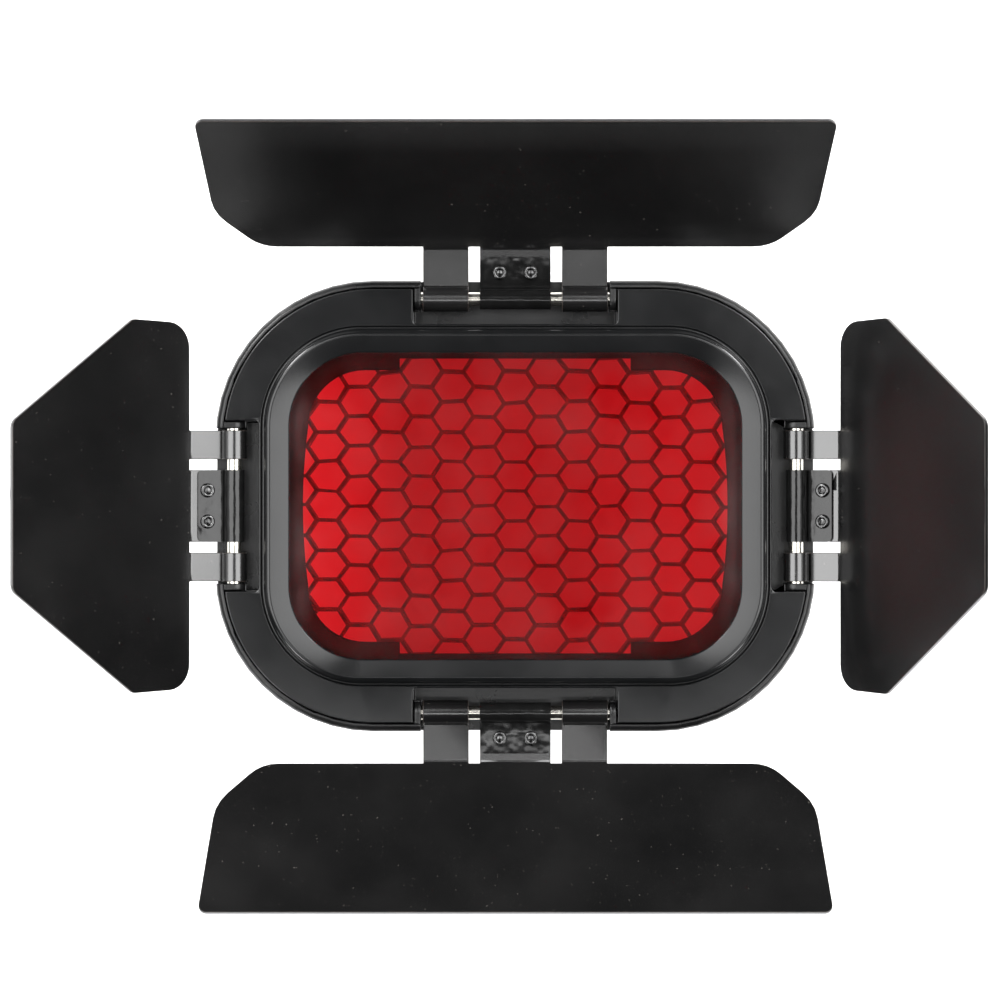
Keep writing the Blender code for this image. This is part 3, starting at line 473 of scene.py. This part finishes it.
def notchCutter(side):
    values = hingeValues[side]
    half, corner = values["halfNotch"], coverValues["notchCorner"]
    back = values["reach"] - coverValues["pocketInset"]
    outline = [(half, 60), (-half, 60)]
    for sign in (-1, 1):
        for step in range(9):
            angle = math.radians(90) * (step if sign < 0 else 8 - step) / 8
            x = sign * (half - corner + corner * math.cos(angle))
            y = back + corner - corner * math.sin(angle)
            outline.append((x, y))
    turn = Matrix.Rotation(math.radians(values["turn"]), 3, "Z")
    bm = bmesh.new()
    low = [bm.verts.new(turn @ Vector((x * mm, y * mm, 10 * mm))) for x, y in outline]
    high = [bm.verts.new(turn @ Vector((x * mm, y * mm, 30 * mm))) for x, y in outline]
    bm.faces.new(low)
    bm.faces.new(high)
    for i in range(len(low)):
        bm.faces.new((low[i - 1], low[i], high[i], high[i - 1]))
    return meshObject("notch", toMesh(bm, "notch"))


def frontCover():
    v = coverValues
    window, bezel, rim = outlines["window"], outlines["bezel"], outlines["frame"]
    shoulder = v["bezelTop"] - v["bezelRound"]
    sections = [(window, 0, v["rear"]), (window, 0, v["bezelTop"] - v["bezelSlope"])]
    for step in range(7):
        angle = math.radians(90) * step / 6
        sections.append((bezel, v["bezelRound"] * (math.sin(angle) - 1), shoulder + v["bezelRound"] * math.cos(angle)))
    sections += [
        (bezel, 0, v["face"] - v["grooveDepth"]),
        (bezel, v["grooveWidth"], v["face"] - v["grooveDepth"]),
        (bezel, v["grooveWidth"], v["face"]),
        (rim, -v["edgeInset"], v["face"]),
        (rim, -v["edgeInset"], v["rear"]),
    ]
    plate = loftedRing("coverPlate", sections)
    for side in hingeValues:
        cut(plate, notchCutter(side))
    profile = [
        (0, 19.5), (v["bossRadius"], 19.5), (v["bossRadius"], v["bossFoot"]),
        (v["boreRadius"], v["bossFoot"]), (v["boreRadius"], v["boreTop"]), (0, v["boreTop"]),
    ]
    pieces = [plate]
    for number in range(1, 5):
        low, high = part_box(f"cover_screw_{number}")
        boss = turned("boss", profile, 32)
        boss.data.transform(Matrix.Translation(((low.x + high.x) / 2, (low.y + high.y) / 2, 0)))
        pieces.append(boss)
    plate = joined("coverPlate", pieces)
    dress(plate, [coverPlastic])
    finished(softened(plate, 0.2 * mm), ["front_cover"])


rearHousing()
frontCover()
print("housing and cover made")


# filter, tray and honeycomb

trayValues = {
    "rear": 8.6, "front": 17.6, "lip": 1.0, "wall": 1.4, "sideInset": 5.2, "bulge": 2.6, "topInset": 3.3,
    "corner": 9.5, "notchHalf": 19.3, "notchLeft": 1.35, "edge": 0.2,
}


def trayOpening():
    # bowed sides, rounded corners and a wide notch at the top and bottom
    v = trayValues
    width, height, _ = outlines["cassette"]
    side = width / 2 - v["wall"] - v["sideInset"]
    top = height / 2 - v["wall"] - v["topInset"]
    notchTop = height / 2 - v["wall"] - v["notchLeft"]
    straight = top - v["corner"]
    quarter = []
    for step in range(13):
        y = straight * step / 12
        quarter.append((side + v["bulge"] * (1 - (y / top) ** 2), y))
    startX = quarter[-1][0]
    for step in range(1, 13):
        angle = math.radians(90) * step / 12
        quarter.append((startX + v["corner"] * (math.cos(angle) - 1), straight + v["corner"] * math.sin(angle)))
    quarter += [(v["notchHalf"], top), (v["notchHalf"], notchTop)]
    half = quarter + [(-x, y) for x, y in reversed(quarter)]
    return [(x * mm, y * mm) for x, y in half + [(-x, -y) for x, y in half[1:-1]]]


def gridTray():
    v = trayValues
    shape = outlines["cassette"]
    lip = roundedPlate("lip", [roundedRectangle(shape), trayOpening()], v["front"] - v["lip"], v["front"], v["edge"])
    inside = roundedRectangle(shape, -v["wall"])
    wall = roundedPlate("wall", [roundedRectangle(shape), inside], v["rear"], v["front"] - v["lip"] / 2, v["edge"])
    tray = joined("gridTray", [lip, wall])
    dress(tray, [gridPlastic])
    finished(flatFaces(tray), ["honeycomb_frame"])


def newGroup(name, inputs):
    # a node group from geometry to geometry, with these named inputs
    group = bpy.data.node_groups.new(name, "GeometryNodeTree")
    group.interface.new_socket("Geometry", in_out="INPUT", socket_type="NodeSocketGeometry")
    for label, kind in inputs.items():
        group.interface.new_socket(label, in_out="INPUT", socket_type=kind)
    group.interface.new_socket("Geometry", in_out="OUTPUT", socket_type="NodeSocketGeometry")
    return group, group.nodes.new("NodeGroupInput"), group.nodes.new("NodeGroupOutput")


def socket(group, name):
    return next(item.identifier for item in group.interface.items_tree if item.name == name and item.in_out == "INPUT")


def wavyCells():
    # foil walls drift a little from a perfect pattern, alike from front to rear
    group, given, result = newGroup("wavyCells", {
        "Scale": "NodeSocketFloat", "Amount": "NodeSocketFloat", "Material": "NodeSocketMaterial"})
    nodes, links = group.nodes, group.links
    position = nodes.new("GeometryNodeInputPosition")
    level = nodes.new("ShaderNodeVectorMath")
    level.operation = "MULTIPLY"
    level.inputs[1].default_value = (1, 1, 0)
    texture = nodes.new("ShaderNodeTexNoise")
    texture.inputs["Detail"].default_value = 1
    centred = nodes.new("ShaderNodeVectorMath")
    centred.operation = "SUBTRACT"
    centred.inputs[1].default_value = (0.5, 0.5, 0.5)
    drift = nodes.new("ShaderNodeVectorMath")
    drift.operation = "SCALE"
    sideways = nodes.new("ShaderNodeVectorMath")
    sideways.operation = "MULTIPLY"
    sideways.inputs[1].default_value = (1, 1, 0)
    move = nodes.new("GeometryNodeSetPosition")
    real = nodes.new("GeometryNodeRealizeInstances")
    paint = nodes.new("GeometryNodeSetMaterial")
    for start, end in (
        (position.outputs["Position"], level.inputs[0]),
        (level.outputs["Vector"], texture.inputs["Vector"]),
        (given.outputs["Scale"], texture.inputs["Scale"]),
        (texture.outputs["Color"], centred.inputs[0]),
        (centred.outputs["Vector"], drift.inputs[0]),
        (given.outputs["Amount"], drift.inputs["Scale"]),
        (drift.outputs["Vector"], sideways.inputs[0]),
        (sideways.outputs["Vector"], move.inputs["Offset"]),
        (given.outputs["Geometry"], move.inputs["Geometry"]),
        (move.outputs["Geometry"], real.inputs["Geometry"]),
        (real.outputs["Geometry"], paint.inputs["Geometry"]),
        (given.outputs["Material"], paint.inputs["Material"]),
        (paint.outputs["Geometry"], result.inputs["Geometry"]),
    ):
        links.new(start, end)
    return group


def honeycomb():
    cells = cadCopy("honeycomb_core", "gridCells", [gridFoil])
    group = wavyCells()
    drift = cells.modifiers.new("drift", "NODES")
    drift.node_group = group
    drift[socket(group, "Scale")] = 130.0
    drift[socket(group, "Amount")] = 1.1 * mm
    drift[socket(group, "Material")] = gridFoil
    finished(applied(cells), ["honeycomb_core"])


def colourFilter():
    low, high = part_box("color_filter")
    plate = roundedPlate("filterSheet", [roundedRectangle(outlines["cassette"], 0, 24)], low.z / mm, high.z / mm, 0.08)
    dress(plate, [filterFilm])
    finished(plate, ["color_filter"])


gridTray()
honeycomb()
colourFilter()
print("filter and grid made")


# flaps with their clips, pins and rivets

rivetValues = {
    "head": [(0, -0.48), (0.22, -0.50), (0.36, -0.56), (0.46, -0.58), (0.54, -0.50), (0.60, -0.32), (0.70, -0.23),
             (0.85, -0.20), (1.00, -0.23), (1.12, -0.32), (1.18, -0.45), (1.20, -0.60), (1.20, -0.70), (0.65, -0.70)],
    "tail": [(0.65, -2.20), (0.85, -2.20), (0.85, -2.42), (0.80, -2.51), (0.70, -2.55), (0, -2.55)],
    "along": 4.4, "spacing": 5.2,
}


def copiesGroup():
    # puts one copy of an object on every point, all turned alike
    group, given, result = newGroup("copies", {
        "Copied": "NodeSocketObject", "Turn": "NodeSocketVector", "Material": "NodeSocketMaterial"})
    nodes, links = group.nodes, group.links
    info = nodes.new("GeometryNodeObjectInfo")
    place = nodes.new("GeometryNodeInstanceOnPoints")
    turn = nodes.new("FunctionNodeEulerToRotation")
    real = nodes.new("GeometryNodeRealizeInstances")
    paint = nodes.new("GeometryNodeSetMaterial")
    for start, end in (
        (given.outputs["Geometry"], place.inputs["Points"]),
        (given.outputs["Copied"], info.inputs["Object"]),
        (info.outputs["Geometry"], place.inputs["Instance"]),
        (given.outputs["Turn"], turn.inputs["Euler"]),
        (turn.outputs["Rotation"], place.inputs["Rotation"]),
        (place.outputs["Instances"], real.inputs["Geometry"]),
        (real.outputs["Geometry"], paint.inputs["Geometry"]),
        (given.outputs["Material"], paint.inputs["Material"]),
        (paint.outputs["Geometry"], result.inputs["Geometry"]),
    ):
        links.new(start, end)
    return group


copies = copiesGroup()


def copiesOn(name, points, model, turn, material):
    mesh = bpy.data.meshes.new(name)
    mesh.from_pydata(points, [], [])
    piece = meshObject(name, mesh)
    place = piece.modifiers.new("copies", "NODES")
    place.node_group = copies
    place[socket(copies, "Copied")] = model
    place[socket(copies, "Turn")] = tuple(turn)
    place[socket(copies, "Material")] = material
    return applied(piece)


def flapSet(side, rivet):
    across = rivetValues["spacing"] / 2
    seams = ((across, -across), ()) if side in ("top", "bottom") else ((), (across, -across))
    flap = cadCopy(side + "_flap", side + "Leaf", [flapPaint, edgePaint], seams)
    finished(softened(flap, 0.1 * mm, 2, 50), [side + "_flap"])
    clip = cadCopy(side + "_friction_clip", side + "Clip", [clipSteel])
    finished(crisp(clip), [side + "_friction_clip"])
    pin = cadCopy(side + "_hinge_pin", side + "Pin", [pinSteel], ())
    finished(softened(pin, 0.06 * mm, 2, 50), [side + "_hinge_pin"])
    lean = hingePlace(side) @ Matrix.Rotation(math.radians(hingeValues[side]["lean"]), 4, "X")
    points = [lean @ Vector((sign * across * mm, rivetValues["along"] * mm, 0)) for sign in (-1, 1)]
    rivets = copiesOn(side + "Rivets", points, rivet, lean.to_euler(), rivetSteel)
    finished(rivets, [side + "_rivet_a", side + "_rivet_b"])


rivet = turned("rivet", rivetValues["head"] + rivetValues["tail"], 40)
for side in hingeValues:
    flapSet(side, rivet)
bpy.data.objects.remove(rivet, do_unlink=True)
print("flaps made")


def coverScrews():
    points = []
    for number in range(1, 5):
        low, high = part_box(f"cover_screw_{number}")
        points.append(((low.x + high.x) / 2, (low.y + high.y) / 2, 0))
    seams = [[value / mm] for value in points[0][:2]]
    screw = softened(cadCopy("cover_screw_1", "screw", [screwSteel], seams), 0.06 * mm, 2, 40)
    screw.data.transform(Matrix.Translation((-points[0][0], -points[0][1], 0)))
    screws = copiesOn("coverScrews", points, screw, (0, 0, 0), screwSteel)
    bpy.data.objects.remove(screw, do_unlink=True)
    finished(screws, [f"cover_screw_{number}" for number in range(1, 5)])


coverScrews()
print("screws made")


# stage

stageValues = {
    "floorSize": 3.0, "floorGlow": 1.0, "cameraHeight": 0.66, "viewWidth": 166.4,
    "viewCentre": (-2.55, 1.0), "cameraFoot": (-2.55, 1.0),
    "sideLight": {"size": (0.9, 0.7), "distance": 0.9, "angle": 33, "swing": 15, "power": 8.7},
    "cornerLight": {"size": (0.2, 0.2), "distance": 0.9, "angle": 58, "front": 1.6, "back": 3.4},
    "topLight": {"size": (0.4, 0.10), "angle": 9.3, "distance": 1.2, "power": 0.6},
    "zenith": 0.30, "horizon": 0.03,
    # painted shade: the floor's glow is dimmed under the window, most in the middle and less at the left and right
    "paintedShadeUnderWindow": {"half": (41, 29), "glow": 0.40, "leftGlow": 0.85, "rightGlow": 0.60},
}


def floorGlow(tree):
    # the floor glows evenly, but less under the window, and there most of all in the middle: painted shade under the
    # object, lighter towards the left and right, so the cells seen through the red filter are brighter at the sides
    v = stageValues["paintedShadeUnderWindow"]
    across = places(tree).outputs["X"]
    left = ranged(tree, across, v["leftGlow"], v["glow"], -36 * mm, -18 * mm)
    right = ranged(tree, across, v["glow"], v["rightGlow"], 10 * mm, 36 * mm)
    level = tree.nodes.new("ShaderNodeMix")
    tree.links.new(outsideBox(tree, v["half"], 0.5), level.inputs[0])
    tree.links.new(math2(tree, "MAXIMUM", left, right), level.inputs[2])
    level.inputs[3].default_value = stageValues["floorGlow"]
    return level.outputs[0]


def paleFloor():
    bm = bmesh.new()
    bmesh.ops.create_grid(bm, x_segments=1, y_segments=1, size=stageValues["floorSize"] / 2)
    floor = meshObject("floor", toMesh(bm, "floor"))
    floor.location.z = -0.5 * mm
    material, tree, shader = newMaterial("paleFloor")
    shader.inputs["Base Color"].default_value = (0.9, 0.9, 0.9, 1)
    shader.inputs["Roughness"].default_value = 0.7
    shader.inputs["Emission Color"].default_value = (1, 1, 1, 1)
    tree.links.new(floorGlow(tree), shader.inputs["Emission Strength"])
    floor.data.materials.append(material)


def sky():
    world = bpy.data.worlds.new("softSky")
    bpy.context.scene.world = world
    world.use_nodes = True
    tree = world.node_tree
    place = tree.nodes.new("ShaderNodeTexCoord")
    split = tree.nodes.new("ShaderNodeSeparateXYZ")
    tree.links.new(place.outputs["Generated"], split.inputs["Vector"])
    level = ranged(tree, split.outputs["Z"], stageValues["horizon"], stageValues["zenith"], 0.1, 1.0)
    tree.links.new(level, tree.nodes["Background"].inputs["Strength"])


def softbox(name, place, size, power):
    light = bpy.data.lights.new(name, "AREA")
    light.shape = "RECTANGLE"
    light.size, light.size_y = size
    light.energy = power
    lamp = bpy.data.objects.new(name, light)
    bpy.context.scene.collection.objects.link(lamp)
    lamp.location = place
    lamp.rotation_euler = (Vector((0, 0, 0.02)) - Vector(place)).to_track_quat("-Z", "Y").to_euler()


def studioLights():
    side, top = stageValues["sideLight"], stageValues["topLight"]
    turn = math.radians(side["angle"])
    swing = math.radians(side["swing"])
    for name, sign in (("leftSoftbox", -1), ("rightSoftbox", 1)):
        across = side["distance"] * math.sin(turn)
        place = (sign * across * math.cos(swing), across * math.sin(swing), side["distance"] * math.cos(turn))
        softbox(name, place, side["size"], side["power"])
    corner = stageValues["cornerLight"]
    turn = math.radians(corner["angle"])
    for name, signX, signY, power in (
        ("backLeft", -1, 1, corner["back"]), ("backRight", 1, 1, corner["back"]),
        ("frontLeft", -1, -1, corner["front"]), ("frontRight", 1, -1, corner["front"]),
    ):
        across = corner["distance"] * math.sin(turn) * math.sqrt(0.5)
        place = (signX * across, signY * across, corner["distance"] * math.cos(turn))
        softbox(name + "Light", place, corner["size"], power)
    turn = math.radians(top["angle"])
    place = (0, -top["distance"] * math.sin(turn), top["distance"] * math.cos(turn))
    softbox("topSoftbox", place, top["size"], top["power"])


def photoCamera():
    data = bpy.data.cameras.new("camera")
    camera = bpy.data.objects.new("camera", data)
    bpy.context.scene.collection.objects.link(camera)
    v = stageValues
    camera.location = (v["cameraFoot"][0] * mm, v["cameraFoot"][1] * mm, coverValues["face"] * mm + v["cameraHeight"])
    data.sensor_width = 36
    data.lens = 36 * v["cameraHeight"] / (v["viewWidth"] * mm)
    data.shift_x = (v["viewCentre"][0] - v["cameraFoot"][0]) / v["viewWidth"]
    data.shift_y = (v["viewCentre"][1] - v["cameraFoot"][1]) / v["viewWidth"]
    bpy.context.scene.camera = camera


paleFloor()
sky()
studioLights()
photoCamera()
bpy.context.scene.view_settings.view_transform = "Standard"
print("stage made")
